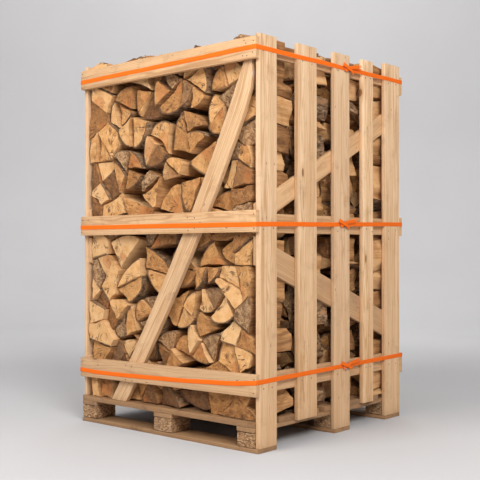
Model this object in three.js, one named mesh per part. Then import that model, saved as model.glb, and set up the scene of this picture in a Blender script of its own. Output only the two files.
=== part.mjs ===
// A tall slatted crate of split firewood standing on a pallet and tied with three straps.
// Millimetres. +Z is up, +X is the crate's right side and -Y is the front, where the log ends show.
// The pieces are placed from the middle of the width (X), the side panels' front edges (Y) and the
// floor (Z), and centred at the end, so that the origin is the middle of the footprint.

import * as THREE from 'three';

// ---- driving dimensions ----

const WIDTH = 1200;            // left panel's outer face to right panel's outer face
const DEPTH = 1200;            // front edge of the side panels to their back edge
const GAP = 0.3;               // clearance between pieces that touch

const BOARD = 22;              // thickness of slats, inner rails and side braces
const CROSS_RAIL = { thick: 26, tall: 100 };
const CROSS_BRACE = { thick: 25, wide: 93 };
const INNER_RAIL_TALL = 88;
const TOP_RAIL_TALL = 45;      // the side panels' top rail is a narrower board

const BOTTOM_BOARD = 20;       // pallet layers, from the floor up
const BLOCK = 69;
const STRINGER = 21;
const DECK = 25;
const PALLET_PROUD = 11;       // how far the pallet stands out in front of the side panels
const DECK_BOARDS = 7;
const DECK_BOARD_WIDE = 137;

const STRAP = { wide: 21, thick: 1.2, corner: 0.5 };
const BUCKLE = { long: 56, tall: 31, wire: 4, thick: 5, corner: 7 };

const LOG_ROWS = 4;
const ROW_SPACE = 4;           // clearance between one row of logs and the next
const LOG_TOP = 1866;          // hollows between the uppermost logs
const LOG_HUMP = 27;           // height of the uppermost logs' humps above those hollows
const HUMPS = 9;               // uppermost logs in the first row; every other row has one more

const CORNER_STEPS = 4;        // straight parts that stand for a rounded corner
const BRACE_STEPS = 12;        // straight parts along the bowed front brace
const HUMP_STEPS = 6;          // straight parts over each hump
const SAG_STEPS = 10;          // straight parts along a strap's sagging run
const SAG_FULLNESS = 0.6;      // below 1, the run drops soon after its ends and is flatter between

// ---- heights worked out from them ----

const DECK_TOP = BOTTOM_BOARD + BLOCK + STRINGER + DECK;
const RIGHT = WIDTH / 2;
const LEFT = -WIDTH / 2;
const INNER = WIDTH / 2 - 2 * BOARD;            // inner faces of the rails inside the side panels

// The three levels at which rails and straps go round the crate. cross is the lower edge of the
// front rail at its left and right end, and inner that of the side panels' rail. The straps aren't
// quite level: their middle line has its own height at each corner, starting at the front left one,
// and sag is how far it dips along the front. buckle is the place along Y of the strap's buckle.
const LEVELS = {
  bottom: {
    cross: [236, 252], inner: 260, innerTall: INNER_RAIL_TALL,
    strap: [274, 317, 329, 291], sag: 16, buckle: 683,
  },
  middle: {
    cross: [977, 983], inner: 981, innerTall: INNER_RAIL_TALL,
    strap: [1019, 1018, 1041, 1036], sag: 0, buckle: 660,
  },
  top: {
    cross: [1746, 1756], inner: 1780, innerTall: TOP_RAIL_TALL,
    strap: [1785, 1806, 1818, 1800], sag: 0, buckle: 700,
  },
};

// The upright slats of a side panel, front to back. The long ones cover the pallet's blocks on the
// right side. The short ones end just below the deck.
const SLATS = [
  { start: 0, wide: 126, top: 1872, foot: BOTTOM_BOARD },
  { start: 284, wide: 151, top: 1874, foot: 107 },
  { start: 581, wide: 136, top: 1882, foot: BOTTOM_BOARD },
  { start: 837, wide: 100, top: 1885, foot: 114 },
  { start: 1052, wide: 148, top: 1900, foot: BOTTOM_BOARD },
];

// The pallet's three rows of blocks, front to back, and its three columns, left to right.
const BLOCK_ROWS = {
  front: { from: -PALLET_PROUD, to: 126 },
  middle: { from: 580, to: 717 },
  back: { from: 1050, to: DEPTH },
};
const PALLET_RIGHT = RIGHT - BOARD - GAP;       // the right panel's slats stand outside the pallet
const BLOCK_COLUMNS = {
  left: { from: LEFT, to: -491 },
  middle: { from: -64, to: 61 },
  right: { from: 474, to: PALLET_RIGHT },
};

// Braces inside a side panel: the height of the middle line at two places along Y.
const SIDE_BRACES = {
  upper: { wide: 95, near: { y: 156, z: 1130 }, far: { y: 829, z: 1460 } },
  lower: { wide: 125, near: { y: 158, z: 847 }, far: { y: 1041, z: 522 } },
};
const BRACE_END = 10;          // how far a side brace's ends stay inside the panel's edges

// The front brace is one long board that bows sideways a little: foot, middle and head in X and Z.
const CROSS_BRACE_LINE = [[-329, DECK_TOP + GAP], [195, 1010], [567, 1776]];

// ---- materials ----

function finish(color, roughness = 0.8, metalness = 0) {
  return new THREE.MeshStandardMaterial({ color, roughness, metalness });
}

const paleBoard = () => finish(0xe6c49a, 0.75);
const greyedBoard = () => finish(0xb98e62, 0.85);
const chipBlock = () => finish(0xa67c52, 0.9);
const splitLogs = () => finish(0xcf9a62, 0.85);
const orangeWeave = () => finish(0xf76c14, 0.55);
const steelWire = () => finish(0x8c9094, 0.35, 0.9);

// ---- shapes ----

const crate = new THREE.Group();

function addMesh(name, geometry, material) {
  const mesh = new THREE.Mesh(geometry, material);
  mesh.name = name;
  crate.add(mesh);
  return mesh;
}

// A straight board or block between two corners.
function addBoard(name, low, high, material) {
  const size = high.map((value, axis) => value - low[axis]);
  const mesh = addMesh(name, new THREE.BoxGeometry(...size), material);
  mesh.position.set(...high.map((value, axis) => (value + low[axis]) / 2));
}

// An outline drawn in X and Z, made solid from one Y to another.
function addUprightPlate(name, outline, fromY, toY, material) {
  const shape = new THREE.Shape(outline.map(([x, z]) => new THREE.Vector2(x, z)));
  const geometry = new THREE.ExtrudeGeometry(shape, { depth: toY - fromY, bevelEnabled: false });
  const mesh = addMesh(name, geometry, material);
  mesh.rotation.x = Math.PI / 2;
  mesh.position.y = toY;
}

// An outline drawn in Y and Z, made solid from one X to another.
function addSidePlate(name, outline, fromX, toX, material) {
  const shape = new THREE.Shape(outline.map(([y, z]) => new THREE.Vector2(y, z)));
  const geometry = new THREE.ExtrudeGeometry(shape, { depth: toX - fromX, bevelEnabled: false });
  const mesh = addMesh(name, geometry, material);
  mesh.rotation.set(Math.PI / 2, Math.PI / 2, 0);
  mesh.position.x = fromX;
}

// ---- pallet ----

function addPallet() {
  const blockFoot = BOTTOM_BOARD + GAP;
  const blockTop = BOTTOM_BOARD + BLOCK;
  const stringerTop = blockTop + STRINGER;

  for (const [rowName, row] of Object.entries(BLOCK_ROWS)) {
    const corners = [[LEFT, row.from, 0], [RIGHT, row.to, BOTTOM_BOARD]];
    addBoard(`bottom_board_${rowName}`, ...corners, greyedBoard());
    for (const [columnName, column] of Object.entries(BLOCK_COLUMNS)) {
      const low = [column.from, row.from, blockFoot];
      const high = [column.to, row.to, blockTop];
      addBoard(`block_${rowName}_${columnName}`, low, high, chipBlock());
    }
  }
  for (const [name, column] of Object.entries(BLOCK_COLUMNS)) {
    const low = [column.from, -PALLET_PROUD, blockTop + GAP];
    const high = [column.to, DEPTH, stringerTop];
    addBoard(`stringer_${name}`, low, high, greyedBoard());
  }
  const pitch = (DEPTH + PALLET_PROUD - DECK_BOARD_WIDE) / (DECK_BOARDS - 1);
  for (let count = 0; count < DECK_BOARDS; count += 1) {
    const y = count * pitch - PALLET_PROUD;
    const low = [LEFT, y, stringerTop + GAP];
    const high = [PALLET_RIGHT, y + DECK_BOARD_WIDE, DECK_TOP];
    addBoard(`deck_board_${count + 1}`, low, high, greyedBoard());
  }
}

// ---- side panels ----

// The board's band, cut upright at both ends and kept on its own side of the middle rail.
function sideBraceOutline(brace, isUpper) {
  const slope = (brace.far.z - brace.near.z) / (brace.far.y - brace.near.y);
  const half = brace.wide / 2 * Math.hypot(1, slope);
  const line = (y) => brace.near.z + slope * (y - brace.near.y);
  const near = BRACE_END;
  const far = DEPTH - BRACE_END;
  const ends = [[far, line(far) - half], [far, line(far) + half], [near, line(near) + half]];
  if (!isUpper) {
    return [[near, line(near) - half], ...ends];
  }
  const sill = LEVELS.middle.inner + INNER_RAIL_TALL + GAP;
  const meet = brace.near.y + (sill + half - brace.near.z) / slope;
  return [[near, sill], [meet, sill], ...ends];
}

// outer and middle are the slats' outer and inner faces, and inner is the inner face of the rails.
function addSidePanel(side, outer, middle, inner, slatFoot) {
  SLATS.forEach((slat, index) => {
    const low = [Math.min(outer, middle), slat.start, slatFoot(slat)];
    const high = [Math.max(outer, middle), slat.start + slat.wide, slat.top];
    addBoard(`${side}_slat_${index + 1}`, low, high, paleBoard());
  });
  const towardsInside = Math.sign(inner - middle);
  const faces = [middle + towardsInside * GAP, inner].sort((a, b) => a - b);
  for (const [level, heights] of Object.entries(LEVELS)) {
    const low = [faces[0], 0, heights.inner];
    const high = [faces[1], DEPTH, heights.inner + heights.innerTall];
    addBoard(`${side}_rail_${level}`, low, high, paleBoard());
  }
  for (const [name, brace] of Object.entries(SIDE_BRACES)) {
    const outline = sideBraceOutline(brace, name === 'upper');
    addSidePlate(`${side}_brace_${name}`, outline, faces[0], faces[1], paleBoard());
  }
}

// ---- front and back ----

// A board of even width along a curve through its foot, middle and head, cut level at both ends and
// upright where it would meet the side panel.
function crossBraceOutline(line, edge) {
  const [foot, middle, head] = line.map(([x, z]) => new THREE.Vector2(x, z));
  const control = middle.clone().multiplyScalar(2).sub(foot.clone().add(head).multiplyScalar(0.5));
  const curve = new THREE.QuadraticBezierCurve(foot, control, head);
  const leftSide = [];
  const rightSide = [];
  for (let step = 0; step <= BRACE_STEPS; step += 1) {
    const point = curve.getPoint(step / BRACE_STEPS);
    const along = curve.getTangent(step / BRACE_STEPS);
    const half = CROSS_BRACE.wide / 2 / along.y;     // half the board's width, measured level
    leftSide.push([point.x - half, point.y]);
    rightSide.push([Math.min(point.x + half, edge), point.y]);
  }
  return rightSide.concat(leftSide.reverse());
}

// The rails and the brace across the front, or the same ones seen in a mirror across the back.
function addCrossFrame(side, outerY, innerY, isMirrored) {
  const place = (outline) => {
    const mirrored = outline.map(([x, z]) => [-x, z]).reverse();
    return isMirrored ? mirrored : outline;
  };
  const outwards = Math.sign(outerY - innerY);
  const railFaces = [outerY, outerY - outwards * CROSS_RAIL.thick].sort((a, b) => a - b);
  for (const [level, heights] of Object.entries(LEVELS)) {
    const [left, right] = heights.cross;
    const lower = [[LEFT, left], [RIGHT, right]];
    const upper = [[RIGHT, right + CROSS_RAIL.tall], [LEFT, left + CROSS_RAIL.tall]];
    addUprightPlate(`${side}_rail_${level}`, place([...lower, ...upper]), ...railFaces, paleBoard());
  }
  const outline = place(crossBraceOutline(CROSS_BRACE_LINE, INNER - GAP));
  const braceFaces = [innerY, innerY - outwards * CROSS_BRACE.thick].sort((a, b) => a - b);
  addUprightPlate(`${side}_brace`, outline, ...braceFaces, paleBoard());
}

// ---- straps and buckles ----

// The strap's way round the crate: straight runs that turn sharply round the wood's corners, as
// points with a height each, and a front run that may sag. offset is the distance from the wood.
function strapLoop(offset, heights, sag) {
  const x = RIGHT + offset;
  const front = -CROSS_RAIL.thick - GAP - offset;
  const back = DEPTH + CROSS_RAIL.thick + GAP + offset;
  const radius = STRAP.corner + offset;
  const corners = [[-x, front], [x, front], [x, back], [-x, back]];
  const points = [];
  corners.forEach(([cornerX, cornerY], index) => {
    const centreX = cornerX - Math.sign(cornerX) * radius;
    const centreY = cornerY + (index < 2 ? radius : -radius);
    for (let step = 0; step <= CORNER_STEPS; step += 1) {
      const turn = Math.PI * (1 + index / 2 + step / CORNER_STEPS / 2);
      const pointX = centreX + radius * Math.cos(turn);
      points.push([pointX, centreY + radius * Math.sin(turn), heights[index]]);
    }
    for (let step = 1; step < SAG_STEPS && index === 0 && sag > 0; step += 1) {
      const part = step / SAG_STEPS;
      const level = heights[0] + (heights[1] - heights[0]) * part;
      const dip = sag * (4 * part * (1 - part)) ** SAG_FULLNESS;
      points.push([centreX + (x - radius - centreX) * part, front, level - dip]);
    }
  });
  return points;
}

// A closed flat band: an inner and an outer loop, each with a lower and an upper edge.
function addStrap(level, heights, sag) {
  const inside = strapLoop(GAP, heights, sag);
  const outside = strapLoop(GAP + STRAP.thick, heights, sag);
  const half = STRAP.wide / 2;
  const count = inside.length;
  const positions = [];
  for (let index = 0; index < count; index += 1) {
    const [innerX, innerY, z] = inside[index];
    const [outerX, outerY] = outside[index];
    positions.push(innerX, innerY, z - half, outerX, outerY, z - half);
    positions.push(outerX, outerY, z + half, innerX, innerY, z + half);
  }
  const faces = [];
  for (let index = 0; index < count; index += 1) {
    const here = index * 4;
    const next = ((index + 1) % count) * 4;
    for (let edge = 0; edge < 4; edge += 1) {
      const after = (edge + 1) % 4;
      faces.push(here + edge, next + edge, next + after);
      faces.push(here + edge, next + after, here + after);
    }
  }
  const geometry = new THREE.BufferGeometry();
  geometry.setAttribute('position', new THREE.Float32BufferAttribute(positions, 3));
  geometry.setIndex(faces);
  geometry.computeVertexNormals();
  addMesh(`strap_${level}`, geometry, orangeWeave());
}

// A wire buckle: a rounded frame, open in the middle.
function buckleShape() {
  const halfLong = BUCKLE.long / 2;
  const halfTall = BUCKLE.tall / 2;
  const round = BUCKLE.corner;
  const outline = [];
  [[1, -1], [1, 1], [-1, 1], [-1, -1]].forEach(([sideX, sideY], index) => {
    for (let step = 0; step <= CORNER_STEPS; step += 1) {
      const turn = Math.PI / 2 * (index - 1 + step / CORNER_STEPS);
      const x = sideX * (halfLong - round) + round * Math.cos(turn);
      const y = sideY * (halfTall - round) + round * Math.sin(turn);
      outline.push(new THREE.Vector2(x, y));
    }
  });
  const shape = new THREE.Shape(outline);
  const slotX = halfLong - BUCKLE.wire;
  const slotY = halfTall - BUCKLE.wire;
  const corners = [[-slotX, -slotY], [-slotX, slotY], [slotX, slotY], [slotX, -slotY]];
  shape.holes.push(new THREE.Path(corners.map(([x, y]) => new THREE.Vector2(x, y))));
  return shape;
}

function addBuckle(level, y, heights) {
  const onRight = heights[1] + (heights[2] - heights[1]) * y / DEPTH;
  const settings = { depth: BUCKLE.thick, bevelEnabled: false };
  const geometry = new THREE.ExtrudeGeometry(buckleShape(), settings);
  const mesh = addMesh(`buckle_${level}`, geometry, steelWire());
  mesh.rotation.set(Math.PI / 2, Math.PI / 2, 0);
  mesh.position.set(RIGHT + GAP + STRAP.thick + GAP, y, onRight);
}

// ---- logs ----

// A row of stacked logs: a block whose top is a chain of humps, as wide as split logs are.
function addLogRow(index, fromY, toY) {
  const side = INNER - GAP;
  const humps = HUMPS + index % 2;
  const wide = 2 * side / humps;
  const outline = [[-side, DECK_TOP + GAP], [side, DECK_TOP + GAP]];
  for (let hump = humps - 1; hump >= 0; hump -= 1) {
    for (let step = HUMP_STEPS; step > 0; step -= 1) {
      const x = -side + (hump + step / HUMP_STEPS) * wide;
      outline.push([x, LOG_TOP + LOG_HUMP * Math.sin(Math.PI * step / HUMP_STEPS)]);
    }
  }
  outline.push([-side, LOG_TOP]);
  addUprightPlate(`log_row_${index + 1}`, outline, fromY, toY, splitLogs());
}

// ---- the whole crate ----

addPallet();
addSidePanel('right', RIGHT, RIGHT - BOARD, INNER, (slat) => slat.foot + GAP);
addSidePanel('left', LEFT, LEFT + BOARD, -INNER, () => DECK_TOP + GAP);
addCrossFrame('front', -CROSS_RAIL.thick - GAP, GAP, false);
addCrossFrame('back', DEPTH + CROSS_RAIL.thick + GAP, DEPTH - GAP, true);

for (const [level, heights] of Object.entries(LEVELS)) {
  addStrap(level, heights.strap, heights.sag);
  addBuckle(level, heights.buckle, heights.strap);
}

const stackFront = CROSS_BRACE.thick + 2 * GAP;
const rowPitch = (DEPTH - 2 * stackFront + ROW_SPACE) / LOG_ROWS;
for (let index = 0; index < LOG_ROWS; index += 1) {
  const fromY = stackFront + index * rowPitch;
  addLogRow(index, fromY, fromY + rowPitch - ROW_SPACE);
}

// The origin is in the middle of the footprint, on the floor.
const bounds = new THREE.Box3().setFromObject(crate);
const middle = bounds.getCenter(new THREE.Vector3());
crate.position.set(-middle.x, -middle.y, -bounds.min.z);

export default crate;
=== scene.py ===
# A slatted crate of split firewood on a pallet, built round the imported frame. Metres, +Z up.
# The crate's front (-Y) shows the log ends, and its right side (+X) the slats.

import math
from functools import reduce
from itertools import combinations

import bmesh
import bpy
import numpy as np
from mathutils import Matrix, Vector


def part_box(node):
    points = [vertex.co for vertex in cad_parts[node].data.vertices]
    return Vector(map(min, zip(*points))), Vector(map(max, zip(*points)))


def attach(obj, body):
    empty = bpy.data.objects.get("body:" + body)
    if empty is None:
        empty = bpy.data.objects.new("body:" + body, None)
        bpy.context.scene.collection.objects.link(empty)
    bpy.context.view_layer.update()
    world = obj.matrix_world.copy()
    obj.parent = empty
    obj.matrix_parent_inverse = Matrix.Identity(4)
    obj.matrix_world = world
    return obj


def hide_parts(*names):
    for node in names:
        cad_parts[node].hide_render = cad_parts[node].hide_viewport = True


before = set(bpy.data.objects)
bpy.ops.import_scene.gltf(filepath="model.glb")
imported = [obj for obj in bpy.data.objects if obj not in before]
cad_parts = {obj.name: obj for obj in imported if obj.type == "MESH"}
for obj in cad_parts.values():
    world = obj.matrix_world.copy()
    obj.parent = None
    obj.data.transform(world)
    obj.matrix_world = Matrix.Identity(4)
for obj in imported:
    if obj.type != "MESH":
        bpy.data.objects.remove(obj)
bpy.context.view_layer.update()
BOXES = {node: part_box(node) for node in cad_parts}
rng = np.random.default_rng(20)

BODY = "root"
GOLDEN = (37.0, 19.0, 53.0)    # spreads each piece's random numbers over the noise space
LEVELS = ("bottom", "middle", "top")
STRAP_THICK = 0.0012


# ---------------------------------------------------------------- materials

YEAR_RING = {"board": 0.0062, "log": 0.0052}
CORD_PITCH, WEFT_PITCH = 0.00095, 0.0021       # the strap's lengthways cords and its cross threads
WHITISH = (0.78, 0.76, 0.78)
CHIP_BROWNS = [(0.0, (0.10, 0.045, 0.017)), (0.35, (0.27, 0.135, 0.055)),
               (0.7, (0.42, 0.23, 0.105)), (1.0, (0.56, 0.36, 0.19))]
SAWN_END = [(0.0, (0.74, 0.455, 0.215)), (0.34, (0.65, 0.33, 0.112)), (0.62, (0.43, 0.183, 0.048)),
            (1.0, (0.11, 0.042, 0.012))]
WEATHERED_END = [(0.0, (0.12, 0.055, 0.02)), (0.5, (0.34, 0.19, 0.085)), (1.0, (0.58, 0.365, 0.185))]
HEARTWOOD, END_KNOT, CRACK = (0.50, 0.16, 0.035), (0.16, 0.06, 0.018), (0.07, 0.03, 0.012)
END_RIM, END_BARK = (0.20, 0.09, 0.035), (0.115, 0.055, 0.024)
SPLIT_FACE = [(0.0, (0.70, 0.41, 0.185)), (0.4, (0.50, 0.255, 0.095)), (0.75, (0.27, 0.12, 0.039)),
              (1.0, (0.11, 0.045, 0.015))]
BARK_PLATES = [(0.0, (0.05, 0.025, 0.011)), (0.4, (0.19, 0.10, 0.045)), (0.72, (0.31, 0.185, 0.095)),
               (1.0, (0.44, 0.31, 0.19))]


class Shader:
    """A material's node graph, with short calls for the nodes that the finishes use."""

    def __init__(self, name, roughness):
        self.material = bpy.data.materials.new(name)
        self.material.use_nodes = True
        self.tree = self.material.node_tree
        self.bsdf = self.tree.nodes["Principled BSDF"]
        self.bsdf.inputs["Roughness"].default_value = roughness

    def put(self, socket, value):
        if isinstance(value, bpy.types.NodeSocket):
            self.tree.links.new(value, socket)
        elif socket.type == "RGBA" and len(value) == 3:
            socket.default_value = (*value, 1.0)
        else:
            socket.default_value = value

    def add(self, kind, inputs=(), **settings):
        node = self.tree.nodes.new(kind)
        for key, value in settings.items():
            setattr(node, key, value)
        for key, value in dict(inputs).items():
            self.put(node.inputs[key], value)
        return node

    def attribute(self, name):
        return self.add("ShaderNodeAttribute", attribute_name=name).outputs["Vector"]

    def math(self, operation, first, second=0.0):
        return self.add("ShaderNodeMath", {0: first, 1: second}, operation=operation).outputs[0]

    def times(self, first, second):
        return self.math("MULTIPLY", first, second)

    def plus(self, first, second):
        return self.math("ADD", first, second)

    def centred(self, value):
        """A value from 0 to 1, moved to lie round 0."""
        return self.math("SUBTRACT", value, 0.5)

    def weighted(self, *parts):
        """The sum of some values, each times its weight."""
        return reduce(self.plus, [self.times(value, weight) for value, weight in parts])

    def waves(self, value, pitch):
        return self.math("SINE", self.times(value, 2 * math.pi / pitch))

    def vector(self, operation, first, second):
        return self.add("ShaderNodeVectorMath", {0: first, 1: second}, operation=operation).outputs[0]

    def stretch(self, vector, scale):
        return self.vector("MULTIPLY", vector, scale)

    def length(self, vector):
        return self.add("ShaderNodeVectorMath", {0: vector}, operation="LENGTH").outputs["Value"]

    def split(self, vector):
        return self.add("ShaderNodeSeparateXYZ", {0: vector}).outputs

    def join(self, x, y, z):
        return self.add("ShaderNodeCombineXYZ", {0: x, 1: y, 2: z}).outputs[0]

    def noise(self, vector, scale, detail, roughness=0.55, distortion=0.0):
        inputs = {"Vector": vector, "Scale": scale, "Detail": detail, "Roughness": roughness,
                  "Distortion": distortion}
        return self.add("ShaderNodeTexNoise", inputs).outputs["Fac"]

    def grained(self, vector, scale, *settings):
        """Noise with a scale of its own along each axis."""
        return self.noise(self.stretch(vector, scale), 1.0, *settings)

    def cells(self, vector, scale):
        return self.add("ShaderNodeTexVoronoi", {"Vector": vector, "Scale": scale}).outputs

    def spots(self, vector, scale, channel, share):
        """Scattered spots: 1 in the share of the cells that have one, and the distance from its middle."""
        found = self.cells(vector, scale)
        there = self.math("LESS_THAN", self.split(found["Color"])[channel], share)
        return there, found["Distance"]

    def remap(self, value, low, high, out_low=0.0, out_high=1.0):
        inputs = {"Value": value, "From Min": low, "From Max": high, "To Min": out_low, "To Max": out_high}
        return self.add("ShaderNodeMapRange", inputs, interpolation_type="SMOOTHSTEP").outputs["Result"]

    def mix(self, factor, first, second, blend="MIX"):
        node = self.add("ShaderNodeMix", data_type="RGBA", blend_type=blend)
        self.put(node.inputs["Factor"], factor)
        self.put(node.inputs[6], first)
        self.put(node.inputs[7], second)
        return node.outputs[2]

    def brighten(self, colour, factor):
        return self.mix(1.0, colour, self.join(factor, factor, factor), "MULTIPLY")

    def ramp(self, factor, stops):
        node = self.add("ShaderNodeValToRGB", {0: factor})
        elements = node.color_ramp.elements
        while len(elements) < len(stops):
            elements.new(0.5)
        for element, (position, colour) in zip(elements, stops):
            element.position = position
            element.color = (*colour, 1.0)
        return node.outputs["Color"]

    def finish(self, colour, height=None, distance=0.0, strength=1.0, roughness=None):
        """Gives the surface its colour, and relief from a height where there is one."""
        self.put(self.bsdf.inputs["Base Color"], colour)
        if height is not None:
            inputs = {"Height": height, "Distance": distance, "Strength": strength}
            self.put(self.bsdf.inputs["Normal"], self.add("ShaderNodeBump", inputs).outputs["Normal"])
        if roughness is not None:
            self.put(self.bsdf.inputs["Roughness"], roughness)
        return self.material


def scattered(s, place, own):
    """A place moved by a piece's own random numbers, so that no two pieces look alike."""
    return s.vector("ADD", place, s.stretch(own, GOLDEN))


def sawn_board(name, pale, deep, grey, knot, dirt, foot=0.0, patch_from=None):
    """Sawn softwood with year rings round a pith beside the board, fibre streaks and knots.
    foot is how much painted shade darkens it towards the floor, and patch_from how far along it a whitish
    patch begins."""
    s = Shader(name, 0.75)
    grain = s.attribute("grain")
    own = s.attribute("own")
    along, across, through = s.split(grain)
    own_a, own_b, own_c = s.split(own)
    place = scattered(s, grain, own)

    warp = s.centred(s.grained(place, (1.7, 16.0, 16.0), 2.0))
    ring_x = s.weighted((across, 1.0), (s.centred(own_a), 0.11), (warp, 0.045))
    ring_y = s.weighted((s.plus(through, 0.03), 1.0), (own_b, 0.05), (warp, 0.03))
    radius = s.length(s.join(ring_x, ring_y, 0.0))
    rings = s.remap(s.waves(radius, YEAR_RING["board"]), -0.2, 1.0)

    fibre = s.grained(place, (7.0, 230.0, 230.0), 3.0)
    streak = s.grained(place, (1.5, 34.0, 34.0), 3.0)
    patch = s.grained(place, (3.0, 9.0, 9.0), 2.0)
    tone = s.weighted((rings, 0.26), (fibre, 0.36), (streak, 0.9))
    colour = s.mix(s.remap(tone, 0.46, 1.06), pale, deep)
    colour = s.mix(s.remap(patch, 0.52, 0.8, 0.0, 0.55), colour, grey)
    colour = s.mix(s.times(own_c, 0.45), colour, grey)
    colour = s.brighten(colour, s.remap(own_b, 0.0, 1.0, 0.9, 1.07))

    is_knot, distance = s.spots(s.stretch(place, (4.6, 13.0, 7.0)), 1.0, 0, 0.26)
    core = s.times(is_knot, s.remap(distance, 0.07, 0.12, 1.0, 0.0))
    halo = s.times(is_knot, s.remap(distance, 0.08, 0.3, 0.6, 0.0))
    colour = s.mix(core, s.mix(halo, colour, deep), knot)
    is_pin, distance = s.spots(s.stretch(place, (13.0, 34.0, 12.0)), 1.0, 1, 0.15)
    colour = s.mix(s.times(is_pin, s.remap(distance, 0.06, 0.13, 0.85, 0.0)), colour, knot)
    if patch_from is not None:
        # A whitish patch far along the board, in streaks, on one half of its width.
        whitish_patch = s.times(s.remap(along, patch_from, patch_from + 0.05), s.remap(streak, 0.50, 0.58))
        whitish_patch = s.times(whitish_patch, s.remap(across, 0.0, 0.02))
        colour = s.mix(s.times(whitish_patch, 0.6), colour, WHITISH)
    # Painted shade: the board gets darker towards the floor.
    if foot:
        colour = s.mix(s.remap(along, 1.3, 0.0, 0.0, foot), colour, deep)

    smudge = s.noise(place, 11.0, 5.0, 0.7)
    colour = s.mix(s.remap(smudge, 0.5, 0.78, 0.0, dirt), colour, knot)
    rough_saw = s.grained(place, (420.0, 60.0, 60.0), 2.0)
    height = s.weighted((fibre, 1.0), (rough_saw, 0.5), (core, -0.8), (rings, 0.3))
    return s.finish(colour, height, 0.0006, 0.9, s.remap(fibre, 0.3, 0.7, 0.62, 0.84))


def pressed_chips(name):
    """A pallet block of pressed wood chips: flakes of many browns with dark pores."""
    s = Shader(name, 0.9)
    place = scattered(s, s.attribute("grain"), s.attribute("own"))
    swirl = s.add("ShaderNodeTexNoise", {"Vector": place, "Scale": 60.0}).outputs["Color"]
    bent = s.vector("ADD", place, s.stretch(swirl, (0.012, 0.012, 0.012)))
    flake = s.cells(s.stretch(bent, (1.0, 1.0, 2.2)), 95.0)
    tone = s.split(flake["Color"])[0]
    pore = s.remap(s.noise(place, 170.0, 3.0), 0.55, 0.7)
    colour = s.mix(pore, s.ramp(tone, CHIP_BROWNS), (0.07, 0.035, 0.016))
    dust = s.remap(s.noise(place, 9.0, 3.0), 0.4, 0.75, 0.0, 0.45)
    colour = s.mix(dust, colour, (0.40, 0.25, 0.14))
    return s.finish(colour, s.weighted((tone, 1.0), (pore, -1.0)), 0.0016, 0.9)


def log_place(s):
    """A place in the log, then its coordinates from the log's pith, then the log's random numbers."""
    pith = s.attribute("pith")
    own = s.attribute("own")
    return scattered(s, pith, own), s.split(pith), s.split(own)


def log_end(name):
    """A sawn log end: faint year rings, radial cracks, darker heart, saw marks and weathered blotches."""
    s = Shader(name, 0.8)
    place, (across, up, _), (own_a, own_b, own_c) = log_place(s)
    radius = s.length(s.join(across, up, 0.0))
    rim, bark, _ = s.split(s.attribute("rim"))
    rough = s.remap(own_c, 0.45, 0.7)

    wobble = s.times(s.noise(place, 26.0, 2.0), 0.016)
    rings = s.remap(s.waves(s.plus(radius, wobble), YEAR_RING["log"]), -0.3, 1.0)
    torn = s.noise(place, 52.0, 4.0, 0.68, 1.2)
    shreds = s.times(torn, rough)
    smooth = s.math("SUBTRACT", 1.0, s.times(rough, 0.6))
    blotch = s.times(s.noise(place, 24.0, 5.0, 0.62, 0.4), smooth)
    blotch = s.plus(blotch, s.times(shreds, 0.6))
    speckle = s.noise(place, 210.0, 3.0, 0.65)
    shade = (s.centred(own_a), 0.34)
    tone = s.weighted((blotch, 0.72), (speckle, 0.34), (rings, 0.10), shade, (rough, 0.2))
    colour = s.ramp(s.remap(tone, 0.26, 1.06), SAWN_END)

    heart_size = s.remap(own_b, 0.45, 1.0, 0.0, 0.055)
    heart_edge = s.weighted((radius, 1.0), (s.centred(blotch), 0.06))
    heart = s.math("LESS_THAN", heart_edge, heart_size)
    colour = s.mix(s.times(heart, 0.5), colour, HEARTWOOD)
    is_knot, distance = s.spots(place, 17.0, 0, 0.2)
    ring = s.weighted((distance, 1.0), (s.centred(torn), 0.5))
    colour = s.mix(s.times(is_knot, s.remap(ring, 0.12, 0.3, 0.8, 0.0)), colour, END_KNOT)
    weather = s.remap(own_c, 0.88, 0.95, 0.0, 0.8)
    colour = s.mix(weather, colour, s.ramp(s.remap(torn, 0.34, 0.66), WEATHERED_END))

    angle = s.math("ARCTAN2", up, across)
    swing = s.weighted((angle, 3.1), (own_a, 61.0))
    crack_place = s.join(swing, s.times(radius, 9.0), own_b)
    crack = s.math("ABSOLUTE", s.centred(s.noise(crack_place, 1.0, 2.0, 0.6)))
    cracked = s.remap(s.noise(place, 16.0, 1.0), 0.45, 0.6)
    crack = s.times(s.remap(crack, 0.004, 0.02, 1.0, 0.0), cracked)
    colour = s.mix(s.times(crack, 0.85), colour, CRACK)
    colour = s.mix(s.remap(rim, 0.0, 0.05, 0.5, 0.0), colour, END_RIM)
    colour = s.mix(s.remap(bark, 0.35, 0.7, 0.0, 0.85), colour, END_BARK)

    turned = s.plus(s.times(across, s.centred(own_a)), s.times(up, s.centred(own_b)))
    saw = s.math("SINE", s.times(turned, 2600.0))
    height = s.weighted((saw, 0.16), (speckle, 1.1), (blotch, 1.0), (crack, -1.5), (shreds, 3.0))
    return s.finish(colour, height, 0.0024, 0.95, s.remap(speckle, 0.3, 0.7, 0.7, 0.88))


def log_split(name):
    """A split face: torn fibres along the log, with paler slivers and brown streaks."""
    s = Shader(name, 0.82)
    place, _, (_, _, own_c) = log_place(s)
    fibre = s.grained(place, (150.0, 150.0, 7.0), 4.0, 0.6, 0.3)
    streak = s.grained(place, (38.0, 38.0, 4.0), 4.0, 0.6)
    patch = s.noise(place, 17.0, 3.0)
    tone = s.weighted((fibre, 0.32), (streak, 0.42), (patch, 0.18), (s.centred(own_c), 0.3))
    colour = s.ramp(s.remap(tone, 0.24, 0.76), SPLIT_FACE)
    colour = s.mix(s.remap(patch, 0.55, 0.75, 0.0, 0.5), colour, (0.42, 0.155, 0.04))
    return s.finish(colour, s.weighted((fibre, 1.0), (streak, 1.4)), 0.0022, 0.9)


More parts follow.
